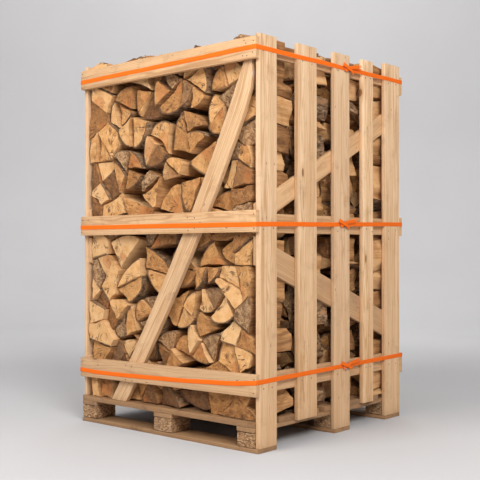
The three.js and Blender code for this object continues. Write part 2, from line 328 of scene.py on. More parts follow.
def log_bark(name):
    """Thin dry bark: grey-brown plates with cracks along the log and bare reddish patches."""
    s = Shader(name, 0.9)
    place, _, (own_a, _, _) = log_place(s)
    plates = s.grained(place, (70.0, 70.0, 24.0), 5.0, 0.65, 0.6)
    crust = s.noise(place, 190.0, 3.0, 0.7)
    colour = s.ramp(s.remap(plates, 0.3, 0.72), BARK_PLATES)
    bare = s.grained(place, (20.0, 20.0, 8.0), 3.0, 0.6)
    colour = s.mix(s.remap(bare, 0.5, 0.62, 0.0, 0.85), colour, (0.42, 0.21, 0.09))
    colour = s.brighten(colour, s.remap(own_a, 0.0, 1.0, 0.75, 1.2))
    return s.finish(colour, s.weighted((plates, 1.0), (crust, 0.4)), 0.005, 0.9)


def woven_strap(name):
    """Orange cord strap: fine cords along it under a coating with a slight sheen."""
    s = Shader(name, 0.6)
    s.bsdf.inputs["Specular IOR Level"].default_value = 0.22
    grain = s.attribute("grain")
    along, across, _ = s.split(grain)
    cords = s.math("ABSOLUTE", s.waves(across, 2 * CORD_PITCH))
    cross = s.math("ABSOLUTE", s.waves(along, 2 * WEFT_PITCH))
    weave = s.times(cords, s.plus(s.times(cross, 0.35), 0.65))
    fade = s.grained(grain, (7.0, 120.0, 30.0), 3.0)
    colour = s.mix(s.remap(weave, 0.0, 0.9), (0.80, 0.115, 0.001), (0.92, 0.165, 0.003))
    colour = s.mix(s.remap(fade, 0.5, 0.8, 0.0, 0.3), colour, (0.98, 0.23, 0.012))
    return s.finish(colour, weave, 0.0003, 0.8)


def bent_wire(name, colour, roughness):
    """Galvanised wire, dulled in patches."""
    s = Shader(name, roughness)
    s.bsdf.inputs["Metallic"].default_value = 1.0
    dull = s.noise(s.add("ShaderNodeTexCoord").outputs["Object"], 420.0, 4.0)
    shade = s.mix(s.remap(dull, 0.4, 0.7), colour, tuple(0.55 * c for c in colour))
    return s.finish(shade, dull, 0.0002, 0.5, s.remap(dull, 0.3, 0.7, roughness, roughness + 0.2))


# The slats' board, with painted shade darkening it towards the floor.
PALE = sawn_board("pale_board", (0.87, 0.60, 0.365), (0.57, 0.305, 0.125), (0.58, 0.39, 0.24),
                  (0.25, 0.11, 0.04), 0.32, foot=0.35)
BRACE_PALE = sawn_board("brace_board", (0.79, 0.52, 0.295), (0.52, 0.28, 0.115), (0.56, 0.37, 0.22),
                        (0.25, 0.11, 0.04), 0.3, patch_from=1.83)
CROSS_PALE = sawn_board("cross_board", (0.73, 0.45, 0.23), (0.47, 0.24, 0.095), (0.48, 0.30, 0.165),
                        (0.20, 0.085, 0.032), 0.32)
INNER_PALE = sawn_board("inner_board", (0.66, 0.40, 0.20), (0.50, 0.27, 0.115), (0.44, 0.27, 0.15),
                        (0.20, 0.085, 0.03), 0.32)
PALLET = sawn_board("pallet_board", (0.41, 0.225, 0.10), (0.27, 0.13, 0.05), (0.24, 0.145, 0.075),
                    (0.09, 0.04, 0.016), 0.6)
CHIPS = pressed_chips("pressed_chips")
LOG_MATERIALS = [log_end("log_end"), log_split("log_split"), log_bark("log_bark")]
STRAP = woven_strap("woven_strap")
WIRE = bent_wire("buckle_wire", (0.62, 0.62, 0.64), 0.3)
NAIL = bent_wire("nail_head", (0.20, 0.17, 0.15), 0.5)


# ---------------------------------------------------------------- meshes

def make_piece(name, points, faces, attributes, materials, face_material=None, sharp=38.0):
    """A piece from arrays: vertices, faces, and numbers or vectors for each vertex."""
    mesh = bpy.data.meshes.new(name)
    mesh.from_pydata(np.asarray(points, float).tolist(), [], faces)
    for key, values in attributes.items():
        values = np.asarray(values, np.float32)
        attribute = mesh.attributes.new(key, "FLOAT_VECTOR", "POINT")
        attribute.data.foreach_set("vector", values.ravel())
    for material in materials:
        mesh.materials.append(material)
    if face_material is not None:
        mesh.polygons.foreach_set("material_index", np.asarray(face_material, np.int32))
    mesh.shade_smooth()
    mesh.set_sharp_from_angle(angle=math.radians(sharp))
    mesh.update()
    piece = bpy.data.objects.new(name, mesh)
    bpy.context.collection.objects.link(piece)
    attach(piece, BODY)
    return piece


LATTICE = np.random.default_rng(5)
SHUFFLED = np.tile(LATTICE.permutation(256), 2)
SLOPES = LATTICE.normal(size=(256, 3))
SLOPES /= np.linalg.norm(SLOPES, axis=1)[:, None]


def smooth_noise(points, scale, seed):
    """Gradient noise from about -1 to 1 at each point, stretched by scale."""
    place = np.asarray(points, float) * scale + seed * 17.31
    cell = np.floor(place).astype(int)
    part = place - cell
    fade = part ** 3 * (part * (part * 6 - 15) + 10)
    total = np.zeros(len(place))
    for corner in np.ndindex(2, 2, 2):
        x, y, z = ((cell + corner) & 255).T
        slope = SLOPES[SHUFFLED[SHUFFLED[SHUFFLED[x] + y] + z]]
        weight = np.where(corner, fade, 1 - fade).prod(axis=1)
        total += weight * ((part - corner) * slope).sum(axis=1)
    return total * 1.5


def closed_loft(rings):
    """Vertices and faces of a closed skin over rings of equal length, with a fan at both ends.
    The faces come ring by ring: a fan, then the bands, then a fan."""
    count, around, _ = rings.shape
    points = np.concatenate([rings[0].mean(0)[None], rings.reshape(-1, 3), rings[-1].mean(0)[None]])
    last = len(points) - 1
    here = np.arange(around)
    after = (here + 1) % around
    faces = [(0, 1 + b, 1 + a) for a, b in zip(here, after)]
    for ring in range(count - 1):
        start = 1 + ring * around
        above = start + around
        faces += [(start + a, start + b, above + b, above + a) for a, b in zip(here, after)]
    start = 1 + (count - 1) * around
    faces += [(start + a, start + b, last) for a, b in zip(here, after)]
    if signed_volume(points, faces) < 0:
        faces = [face[::-1] for face in faces]
    return points, faces


def joined(parts):
    """The vertices and faces of several shapes as those of one."""
    points, faces, count = [], [], 0
    for own_points, own_faces in parts:
        points.append(own_points)
        faces += [tuple(index + count for index in face) for face in own_faces]
        count += len(own_points)
    return np.concatenate(points), faces


def rotated(points, turn):
    """Points in a plane, turned round its origin."""
    cos, sin = math.cos(turn), math.sin(turn)
    return np.stack([points[:, 0] * cos - points[:, 1] * sin, points[:, 0] * sin + points[:, 1] * cos], 1)


def signed_volume(points, faces):
    triangles = np.array([(face[0], b, c) for face in faces for b, c in zip(face[1:-1], face[2:])])
    first, second, third = (points[triangles[:, column]] for column in range(3))
    return float((first * np.cross(second, third)).sum())


# ---------------------------------------------------------------- boards

EDGE_ROUND = 0.0016            # how far a sawn board's edges are worn round
RING_STEP = 0.045              # from one ring of a board's vertices to the next
SECTION_STEP = 0.016           # from one vertex to the next across a board's face
END_SHRINK = 0.4               # how far the ends' inner rings are drawn in to their middles
FLUSH = 1e-5                   # how far inside a board's end its outline is still measured


def outline_limits(node, long_axis, wide_axis, position):
    """The board's two edges, across it, at a position along it, from the CAD outline."""
    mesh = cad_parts[node].data
    corners = np.array([v.co for v in mesh.vertices])[:, [long_axis, wide_axis]]
    ends = np.array([e.vertices[:] for e in mesh.edges])
    first, second = corners[ends[:, 0]], corners[ends[:, 1]]
    span = second[:, 0] - first[:, 0]
    sloping = np.abs(span) > 1e-7
    first, second, span = first[sloping], second[sloping], span[sloping]
    part = (position - first[:, 0]) / span
    met = (part >= -1e-6) & (part <= 1 + 1e-6)
    across = first[met, 1] + part[met] * (second[met, 1] - first[met, 1])
    return across.min(), across.max()


def board_section(near, far, low, high, radius, steps):
    """Points round a board's section with rounded corners: across, through."""
    points = []
    corners = [(far, low), (far, high), (near, high), (near, low)]
    signs = [(1, -1), (1, 1), (-1, 1), (-1, -1)]
    for index, ((across, through), (sign_a, sign_t)) in enumerate(zip(corners, signs)):
        centre = (across - sign_a * radius, through - sign_t * radius)
        for step in range(3):
            turn = math.pi / 2 * (index - 1 + step / 2)
            points.append((centre[0] + radius * math.cos(turn), centre[1] + radius * math.sin(turn)))
        following = corners[(index + 1) % 4]
        inner = steps if index % 2 else 2
        for step in range(1, inner):
            part = step / inner
            edge = (following[0] - across, following[1] - through)
            points.append((across + edge[0] * part, through + edge[1] * part))
    return np.array(points)


def board(node, material, rough=1.0):
    """A sawn board in the place of a CAD board: worn edges, slight waves, its grain along it."""
    low, high = BOXES[node]
    size = high - low
    thin, wide, long = sorted(range(3), key=lambda axis: size[axis])
    own = rng.random(3)
    seed = own[0] * 50
    round_edge = EDGE_ROUND * (0.7 + 0.8 * own[1])

    start, end = low[long], high[long]
    middle = np.linspace(start + round_edge, end - round_edge, max(4, int(size[long] / RING_STEP)))
    positions = [start, start + 0.3 * round_edge, *middle, end - 0.3 * round_edge, end]
    insets = [round_edge, 0.3 * round_edge, *[0.0] * len(middle), 0.3 * round_edge, round_edge]
    measured = [min(max(position, start + FLUSH), end - FLUSH) for position in positions]
    limits = [outline_limits(node, long, wide, position) for position in measured]
    half = len(limits) // 2
    steps = max(4, int((limits[half][1] - limits[half][0]) / SECTION_STEP))
    centres = np.array([sum(pair) / 2 for pair in limits])
    lean = math.atan2(centres[-1] - centres[half], positions[-1] - positions[half])

    rings, grain = [], []
    for position, inset, pair, centre in zip(positions, insets, limits, centres):
        section = board_section(pair[0] + inset, pair[1] - inset, low[thin] + inset, high[thin] - inset,
                                round_edge, steps)
        ring = np.zeros((len(section), 3))
        ring[:, long] = position
        ring[:, wide] = section[:, 0]
        ring[:, thin] = section[:, 1]
        rings.append(ring)
        through = section[:, 1] - (low[thin] + high[thin]) / 2
        across = (section[:, 0] - centre) * math.cos(lean)
        grain.append(np.stack([np.full(len(section), position / math.cos(lean)), across, through], 1))
    rings = np.array(rings)
    grain = np.array(grain)

    flat = grain.reshape(-1, 3)
    wave = smooth_noise(flat, (5.0, 9.0, 9.0), seed) * 0.0011
    fuzz = smooth_noise(flat, (30.0, 90.0, 90.0), seed + 3) * 0.00045
    edge = smooth_noise(flat * (1, 0.02, 0.02), (4.0, 1.0, 1.0), seed + 7) * 0.0013
    moved = rings.reshape(-1, 3)
    outward = np.sign(flat[:, 1]) * (np.abs(flat[:, 1]) > 0.8 * np.abs(flat[:, 1]).max())
    moved[:, wide] += rough * (outward * (edge - 0.0008) + fuzz)
    moved[:, thin] += rough * (wave * 0.35 + fuzz * np.sign(flat[:, 2]))
    moved[:, 2] = np.maximum(moved[:, 2], 0.0)
    rings = moved.reshape(rings.shape)
    if "_slat_" in node:
        torn = smooth_noise(grain[-1] * (0, 1, 1), (1.0, 48.0, 48.0), seed + 11) * 0.0034 - 0.0028
        rings[-2:, :, long] += np.minimum(torn, 0.0)

    caps = np.array([end + (end.mean(0) - end) * END_SHRINK for end in (rings[0], rings[-1])])
    cap_grain = grain[[0, -1]] * (1, 1 - END_SHRINK, 1 - END_SHRINK)
    rings = np.concatenate([caps[:1], rings, caps[1:]])
    grain = np.concatenate([cap_grain[:1], grain, cap_grain[1:]])
    points, faces = closed_loft(rings)
    grain = np.concatenate([grain[0].mean(0)[None], grain.reshape(-1, 3), grain[-1].mean(0)[None]])
    attributes = {"grain": grain, "own": np.tile(own, (len(points), 1))}
    piece = make_piece(f"sawn_{node}", points, faces, attributes, [material])
    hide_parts(node)


def chip_block(node):
    """A block of pressed chips with crumbled edges."""
    low, high = BOXES[node]
    size = high - low
    centre = (low + high) / 2
    own = rng.random(3)
    shape = bmesh.new()
    bmesh.ops.create_cube(shape, size=1.0)
    bmesh.ops.subdivide_edges(shape, edges=shape.edges[:], cuts=11, use_grid_fill=True)
    points = np.array([v.co for v in shape.verts])
    faces = [[v.index for v in face.verts] for face in shape.faces]
    shape.free()
    unit = points * 2
    spread = np.linalg.norm(np.maximum(np.abs(unit) - 0.93, 0), axis=1)
    local = points * np.array(size)
    crumb = smooth_noise(local, 60.0, own[0] * 40) * 0.0011 + smooth_noise(local, 190.0, own[1] * 40) * 0.0008
    inward = 0.0011 + 0.03 * spread ** 1.3 - crumb
    direction = unit * (np.abs(unit) > 0.92)
    local = local - direction * inward[:, None]
    attributes = {"grain": local, "own": np.tile(own, (len(local), 1))}
    piece = make_piece(f"pressed_{node}", local + np.array(centre), faces, attributes, [CHIPS], sharp=60)
    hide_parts(node)


def build_boards():
    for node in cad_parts:
        if node.startswith("block_"):
            chip_block(node)
        elif node.startswith(("bottom_board", "deck_board", "stringer")):
            board(node, PALLET, rough=1.6)
        elif "_rail_" in node or "_brace" in node or "_slat_" in node:
            material = INNER_PALE
            if "_slat_" in node:
                material = PALE
            elif node.startswith(("front", "back")):
                material = BRACE_PALE if "_brace" in node else CROSS_PALE
            board(node, material)


# ---------------------------------------------------------------- split logs

LOG_LENGTHS = (0.222, 0.272)
CELL_AREA = 0.0146             # average room that one log end takes in the stack
SMALLEST_LOG = 0.0012
SPLIT_SIZES = [0.55, 0.8, 1.0, 1.25, 1.6]      # how large the split logs are meant to be, in CELL_AREA
SPLIT_SHARES = [0.14, 0.26, 0.28, 0.2, 0.12]
TOP_SLOPE = 22.0               # degrees that a log's outer side may fall away on both sides of its peak
SIDE_SLOPE = 30.0
CLOSED_SLOPE = 10.0
CLOSED_MARGIN = 0.12           # the logs this near to an open row's side walls are packed closely
TOUCHING = 1e-4                # a cell this near to the edge of the stack lies against it
PANEL_GAP = 0.0005             # clearance between the logs and the crate's boards
FINE_STEP, COARSE_STEP = 0.0096, 0.0135        # between the points of a log's outline
BARK_SHARE = 0.74
TORN_SHARE = 0.46


def polygon_area(polygon):
    nxt = np.roll(polygon, -1, axis=0)
    return 0.5 * float(np.sum(polygon[:, 0] * nxt[:, 1] - nxt[:, 0] * polygon[:, 1]))


def polygon_centre(polygon):
    nxt = np.roll(polygon, -1, axis=0)
    cross = polygon[:, 0] * nxt[:, 1] - nxt[:, 0] * polygon[:, 1]
    return ((polygon + nxt) * cross[:, None]).sum(0) / (3 * cross.sum())


def clip(polygon, direction, limit):
    """The part of a convex polygon where point . direction is at most limit."""
    side = polygon @ direction - limit
    kept = []
    for index in range(len(polygon)):
        here, there = side[index], side[(index + 1) % len(polygon)]
        a, b = polygon[index], polygon[(index + 1) % len(polygon)]
        if here <= 0:
            kept.append(a)
        if (here < 0 < there) or (there < 0 < here):
            kept.append(a + (b - a) * here / (here - there))
    return np.array(kept)


def compactness(polygon):
    around = np.linalg.norm(polygon - np.roll(polygon, -1, axis=0), axis=1).sum()
    return 4 * math.pi * polygon_area(polygon) / around ** 2


def scattered_seeds(low, high, spacing):
    """Random points that keep their distance from each other."""
    seeds = []
    misses = 0
    while misses < 400:
        point = low + rng.random(2) * (high - low)
        if all(np.linalg.norm(point - other) > spacing for other in seeds):
            seeds.append(point)
            misses = 0
        else:
            misses += 1
    return np.array(seeds)


def bundle_cells(seeds, weights, box):
    """Each seed's own convex share of the box, larger for a larger weight."""
    cells = []
    for index, seed in enumerate(seeds):
        cell = box
        order = np.argsort(np.linalg.norm(seeds - seed, axis=1))[1:22]
        for other in order:
            direction = 2 * (seeds[other] - seed)
            limit = seeds[other] @ seeds[other] - seed @ seed + weights[index] - weights[other]
            cell = clip(cell, direction, limit)
            if len(cell) < 3:
                break
        if len(cell) >= 3:
            cells.append(cell)
    return cells


def split_cell(cell):
    """Splits a cell as an axe would, into pieces that aren't too thin."""
    wanted = CELL_AREA * rng.choice(SPLIT_SIZES, p=SPLIT_SHARES)
    if polygon_area(cell) < wanted * 1.45:
        return [cell]
    centre = polygon_centre(cell)
    best = None
    for _ in range(14):
        if rng.random() < 0.5:
            towards = centre - cell[rng.integers(len(cell))]
            turn = math.atan2(towards[1], towards[0]) + rng.normal(0, 0.08)
        else:
            turn = rng.random() * math.pi
        normal = np.array([-math.sin(turn), math.cos(turn)])
        limit = centre @ normal + rng.normal(0, 0.006)
        halves = [clip(cell, normal, limit), clip(cell, -normal, -limit)]
        if min(len(half) for half in halves) < 3:
            continue
        score = min(compactness(half) for half in halves) + rng.random() * 0.12
        if best is None or score > best[0]:
            best = (score, halves)
    return split_cell(best[1][0]) + split_cell(best[1][1])


def largest_corners(polygon, count):
    """The corners, count of them, that hold the most area."""
    picks = combinations(range(len(polygon)), min(count, len(polygon)))
    return max(picks, key=lambda pick: polygon_area(polygon[list(pick)]))


def bezier(controls, steps):
    """Points along a Bezier curve with any number of control points, without its last point."""
    controls = np.array(controls)
    part = np.linspace(0, 1, steps, endpoint=False)[:, None]
    degree = len(controls) - 1
    total = 0
    for index, control in enumerate(controls):
        total = total + math.comb(degree, index) * part ** index * (1 - part) ** (degree - index) * control
    return total


def cut_sides(shape, pick):
    """The sides between the picked corners: start, the corners left out, end, and how far they bulge."""
    sides = []
    for index, corner in enumerate(pick):
        following = pick[(index + 1) % len(pick)]
        skipped = []
        step = (corner + 1) % len(shape)
        while step != following:
            skipped.append(shape[step])
            step = (step + 1) % len(shape)
        a, b = shape[corner], shape[following]
        edge = b - a
        normal = np.array([edge[1], -edge[0]]) / np.linalg.norm(edge)
        bulge = max([float((point - a) @ normal) for point in skipped], default=0.0)
        sides.append((a, skipped, b, bulge, np.linalg.norm(edge)))
    return sides


def peaked(shape, outward, steepest):
    """Cuts off the corners of a shape's outer side, so that it isn't flat but rises to a blunt peak."""
    tangent = np.array([-outward[1], outward[0]])
    reach = shape @ outward
    outer = shape[reach > reach.max() - 0.012]
    span = outer @ tangent
    middle = span.min() + (span.max() - span.min()) * rng.uniform(0.25, 0.75)
    peak = outward * reach.max() + tangent * middle
    for side in (-1, 1):
        slope = math.radians(rng.uniform(0.2, 1.0) * steepest)
        normal = outward * math.cos(slope) + tangent * side * math.sin(slope)
        shape = clip(shape, normal, float(peak @ normal))
    return shape


def inside_gaps(cell, box, closed):
    """The cell, pulled in by the gaps between logs, and by wider ones beside the crate's walls."""
    low, high = box.min(0), box.max(0)
    shape = cell
    for a, b in zip(cell, np.roll(cell, -1, axis=0)):
        edge = b - a
        length = np.linalg.norm(edge)
        if length < 1e-5:
            continue
        normal = np.array([edge[1], -edge[0]]) / length
        middle = (a + b) / 2
        gap = (0.0006 + 0.0038 * rng.random()) * (0.2 if closed else 1.0)
        if min(abs(middle[0] - low[0]), abs(middle[0] - high[0])) < TOUCHING:
            gap = (0.002 + 0.026 * rng.random() ** 2) * (0.3 if closed else 1.0)
        elif abs(middle[1] - high[1]) < TOUCHING:
            gap = 0.0004 + 0.008 * rng.random() ** 2
        shape = clip(shape, normal, float(a @ normal) - gap)
    if abs(cell[:, 1].max() - high[1]) < TOUCHING:
        shape = peaked(shape, np.array([0.0, 1.0]), TOP_SLOPE)
    if cell[:, 0].max() > high[0] - TOUCHING:
        shape = peaked(shape, np.array([1.0, 0.0]), SIDE_SLOPE)
    elif cell[:, 0].min() < low[0] + TOUCHING:
        shape = peaked(shape, np.array([-1.0, 0.0]), CLOSED_SLOPE if closed else SIDE_SLOPE)
    return shape


def log_outline(cell, box, fine):
    """A split log's section inside its cell: straight split sides and one curved side.
    Gives the outline, which points lie on the curved side, and where the pith is."""
    spacing = FINE_STEP if fine else COARSE_STEP
    closed = fine and wall_distance(cell, box) < CLOSED_MARGIN
    shape = inside_gaps(cell, box, closed)
    pick = list(largest_corners(shape, 3))
    sides = cut_sides(shape, pick)
    held = polygon_area(shape[pick]) + 0.62 * max(side[3] * side[4] for side in sides)
    if closed or held < (0.70 + 0.12 * rng.random()) * polygon_area(shape):
        corners = 6 if closed else 4 if rng.random() < 0.8 else 5
        sides = cut_sides(shape, list(largest_corners(shape, corners)))
    preference = [side[3] + 0.12 * side[4] * rng.random() for side in sides]
    curved = int(np.argmax(preference))
    ease = (0.02 + 0.12 * rng.random()) * (0.3 if closed else 1.0)
    points, on_curve = [], []
    for index, (a, skipped, b, _, length) in enumerate(sides):
        before = sides[index - 1][0]
        after = sides[(index + 1) % len(sides)][2]
        if index == curved:
            controls = [a + (before - a) * ease, a, *skipped, b, b + (after - b) * ease]
            run = bezier(controls, max(6, round(1.15 * length / spacing)))
        else:
            start = a + (b - a) * ease if index == (curved + 1) % len(sides) else a
            stop = b + (a - b) * ease if (index + 1) % len(sides) == curved else b
            steps = max(3, round(length / spacing))
            run = start + (stop - start) * np.linspace(0, 1, steps, endpoint=False)[:, None]
            arch = np.sin(np.linspace(0, math.pi, steps, endpoint=False))
            sway = 0.035 * length * rng.normal() * arch
            across = np.array([stop[1] - start[1], start[0] - stop[0]]) / np.linalg.norm(stop - start)
            run = run - np.abs(sway)[:, None] * across
        points.append(run)
        on_curve.append(np.full(len(run), index == curved))
    outline, kinds = np.concatenate(points), np.concatenate(on_curve)
    outline = 0.8 * outline + 0.1 * (np.roll(outline, 1, axis=0) + np.roll(outline, -1, axis=0))

    chord = (sides[curved][0] + sides[curved][2]) / 2
    centre = outline.mean(0)
    pith = centre + (centre - chord) * (0.9 + 0.8 * rng.random()) + rng.normal(0, 0.006, 2)
    turn = rng.normal(0, 0.01 if closed else 0.035 if fine else 0.06)
    size = rng.uniform(0.995, 1.02) if closed else rng.uniform(0.97, 1.02)
    return centre + rotated((outline - centre) * size, turn), kinds, pith


def stack_cells(low, high):
    """Shares the face of the stack out between the logs."""
    box = np.array([[low[0], low[1]], [high[0], low[1]], [high[0], high[1]], [low[0], high[1]]])
    spacing = math.sqrt(CELL_AREA) * 1.22
    seeds = scattered_seeds(low, high, spacing)
    weights = (spacing * (0.3 + 0.45 * rng.random(len(seeds)))) ** 2
    cells = bundle_cells(seeds, weights, box)
    logs = [piece for cell in cells for piece in split_cell(cell)]
    return box, [cell for cell in logs if polygon_area(cell) > SMALLEST_LOG]


def wall_distance(cell, box):
    """How far a cell is from the nearer side wall."""
    return min(abs(cell[:, 0] - box[:, 0].min()).min(), abs(cell[:, 0] - box[:, 0].max()).min())


def clear_of_panel(side, cell, near, far):
    """Whether a log between two depths misses the rails and braces of a side panel."""
    low, high = cell[:, 1].min(), cell[:, 1].max()
    for level in LEVELS:
        rail_low, rail_high = BOXES[f"{side}_rail_{level}"]
        if rail_low.z < high and low < rail_high.z:
            return False
    for half in ("lower", "upper"):
        brace = f"{side}_brace_{half}"
        start, stop = BOXES[brace][0].y + TOUCHING, BOXES[brace][1].y - TOUCHING
        spans = [outline_limits(brace, 1, 2, min(max(depth, start), stop)) for depth in (near, far)]
        if min(span[0] for span in spans) < high and low < max(span[1] for span in spans):
            return False
    return True


def fit_between_panels(cell, box, node):
    """The cell and its box. They reach the slats, or only the rails and braces that are in the way."""
    low, high = BOXES[node]
    box = box.copy()
    if cell[:, 0].min() < low.x and not clear_of_panel("left", cell, low.y, high.y):
        cell = clip(cell, np.array([-1.0, 0.0]), -low.x - PANEL_GAP)
        box[[0, 3], 0] = low.x + PANEL_GAP
    passes = len(cell) >= 3 and cell[:, 0].max() > high.x
    if passes and not clear_of_panel("right", cell, low.y, high.y):
        cell = clip(cell, np.array([1.0, 0.0]), high.x - PANEL_GAP)
        box[[1, 2], 0] = high.x - PANEL_GAP
    return cell, box


def clear_of_brace(outline, brace):
    """Whether a log end lies beside the diagonal board, so that it may stand out next to it."""
    margin = 0.006
    low, high = outline[:, 1].min(), outline[:, 1].max()
    for height in np.linspace(low, high, 6):
        if BOXES[brace][0].z < height < BOXES[brace][1].z:
            near, far = outline_limits(brace, 2, 0, height)
            if outline[:, 0].min() < far + margin and outline[:, 0].max() > near - margin:
                return False
    return True


def one_log(cell, box, outer, inwards, depth, fine, brace):
    """One split log. outer is the Y of the row's open face, inwards the way into the stack."""
    outline, kinds, pith = log_outline(cell, box, fine)
    around = len(outline)
    centre = polygon_centre(outline)
    has_bark = rng.random() < BARK_SHARE
    torn_end = rng.random() < TORN_SHARE
    own = rng.random(3)
    own[2] = 0.62 + 0.38 * own[2] if torn_end else 0.45 * own[2]
    seed = own[0] * 90
    beside_wall = wall_distance(cell, box) < TOUCHING
    tilt = rng.normal(0, 0.03 if fine and beside_wall else 0.07, 2)
    lean = rng.normal(0, 0.020 if beside_wall else 0.010, 2)
    length = rng.uniform(*LOG_LENGTHS)
    recess = rng.uniform(0.0005, 0.016) if rng.random() < 0.85 else rng.uniform(0.016, 0.045)
    if brace and clear_of_brace(outline, brace):
        recess = 0.3 * recess - 0.0245 if beside_wall else recess - 0.0215
    local = outline - centre
    swell, twist = rng.normal(0, 0.03, 2)
    at_wall = beside_wall or np.abs(cell[:, 1] - box[:, 1].max()).min() < TOUCHING

    lengthways = np.linspace(0, 1, 10 if at_wall else 5)
    caps = [0.3, 0.58, 0.8, 0.93, 0.985] if fine else [0.55, 0.96]
    steps = [(0.0, scale) for scale in caps] + [(part, 1.0) for part in lengthways]
    steps += [(1.0, scale) for scale in ([0.96, 0.5] if at_wall else [0.9])]
    rings, rims = [], []
    for part, scale in steps:
        size = scale * (1 + swell * (part - 0.3))
        x, z = rotated(local, twist * part).T
        chamfer = 0.0012 if scale == 1.0 and part == 0.0 else 0.0
        skewed = (tilt[0] * x + tilt[1] * z) * scale * (1 - part)
        ring = np.stack([centre[0] + x * size + lean[0] * part, part * length + skewed + chamfer,
                         centre[1] + z * size + lean[1] * part], 1)
        rings.append(ring)
        barky = kinds * has_bark * (scale > 0.9)
        rims.append(np.stack([np.full(around, 1 - scale), barky, np.zeros(around)], 1))
    rings = np.array(rings)
    flat = rings.reshape(-1, 3)
    on_bark = np.tile(kinds, len(steps)) & has_bark
    edge = np.roll(local, -1, axis=0) - np.roll(local, 1, axis=0)
    outward = np.stack([edge[:, 1], -edge[:, 0]], 1) / np.linalg.norm(edge, axis=1)[:, None]
    outward = np.tile(outward, (len(steps), 1))
    is_side = np.repeat([max(0.0, scale - 0.6) * 2.5 for _, scale in steps], around)
    torn = smooth_noise(flat, (85.0, 8.0, 85.0), seed) * 0.0020
    torn += smooth_noise(flat, (26.0, 7.0, 26.0), seed + 5) * (0.0042 if fine else 0.0066)
    crust = smooth_noise(flat, (60.0, 34.0, 60.0), seed + 9) * 0.0028
    relief = (np.where(on_bark, crust, torn) - 0.0008) * is_side
    flat[:, 0] += outward[:, 0] * relief
    flat[:, 2] += outward[:, 1] * relief
    dish = smooth_noise(flat, (22.0, 3.0, 22.0), seed + 13) * (0.0075 if torn_end else 0.003)
    dish += smooth_noise(flat, (70.0, 3.0, 70.0), seed + 17) * (0.0042 if torn_end else 0.0014)
    flat[:, 1] += dish
    flat[:, 0] = np.clip(flat[:, 0], box[:, 0].min(), box[:, 0].max())
    flat[:, 2] = np.clip(flat[:, 2], box[:, 1].min(), box[:, 1].max())
    flat[:, 1] += recess - flat[:, 1].min()
    local_along = flat[:, 1].copy()
    flat[:, 1] = outer + inwards * np.minimum(flat[:, 1], depth - 0.001)
    pith_place = np.stack([flat[:, 0] - pith[0], flat[:, 2] - pith[1], local_along], 1)

    points, faces = closed_loft(flat.reshape(rings.shape))
    pith_ends = pith_place.reshape(rings.shape)[[0, -1]].mean(1)
    pith_place = np.concatenate([pith_ends[:1], pith_place, pith_ends[1:]])
    rim = np.concatenate([[(1.0, 0.0, 0.0)], *rims, [(1.0, 0.0, 0.0)]])
    bark_face = kinds & np.roll(kinds, -1) & has_bark
    first_side = len(caps)
    last_side = first_side + len(lengthways) - 1
    material = [0] * around
    for ring in range(len(steps) - 1):
        on_side = first_side <= ring < last_side
        material += np.where(bark_face, 2, 1).tolist() if on_side else [0] * around
    material += [0] * around
    return points, faces, material, {"pith": pith_place, "own": np.tile(own, (len(points), 1)), "rim": rim}


def log_row(node, faces_front, brace=None):
    """One row of logs in the place of its CAD solid. brace is the board across its open face."""
    fine = brace is not None
    low, high = BOXES[node]
    face_low = np.array([BOXES["left_slat_1"][1].x + 3 * PANEL_GAP, low.z + PANEL_GAP])
    face_high = np.array([BOXES["right_slat_1"][0].x - 3 * PANEL_GAP, high.z - PANEL_GAP])
    face, cells = stack_cells(face_low, face_high)
    outer, inwards = (low.y, 1) if faces_front else (high.y, -1)
    shapes, materials, gathered = [], [], []
    for whole in cells:
        cell, box = fit_between_panels(whole, face, node)
        if len(cell) < 3 or polygon_area(cell) < SMALLEST_LOG:
            continue
        log = one_log(cell, box, outer, inwards, high.y - low.y, fine, brace)
        shapes.append(log[:2])
        materials += log[2]
        gathered.append(log[3])
    points, faces = joined(shapes)
    attributes = {key: np.concatenate([own[key] for own in gathered]) for key in gathered[0]}
    piece = make_piece(f"split_{node}", points, faces, attributes, LOG_MATERIALS, materials, sharp=42)
    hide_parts(node)


def build_logs():
    log_row("log_row_1", True, "front_brace")
    log_row("log_row_2", True)
    log_row("log_row_3", False)
    log_row("log_row_4", False, "back_brace")


# ---------------------------------------------------------------- straps

STRANDS = 7                    # frayed threads at the end of a tail
STRAND_WIDE, STRAND_THICK = 0.0021, 0.0007


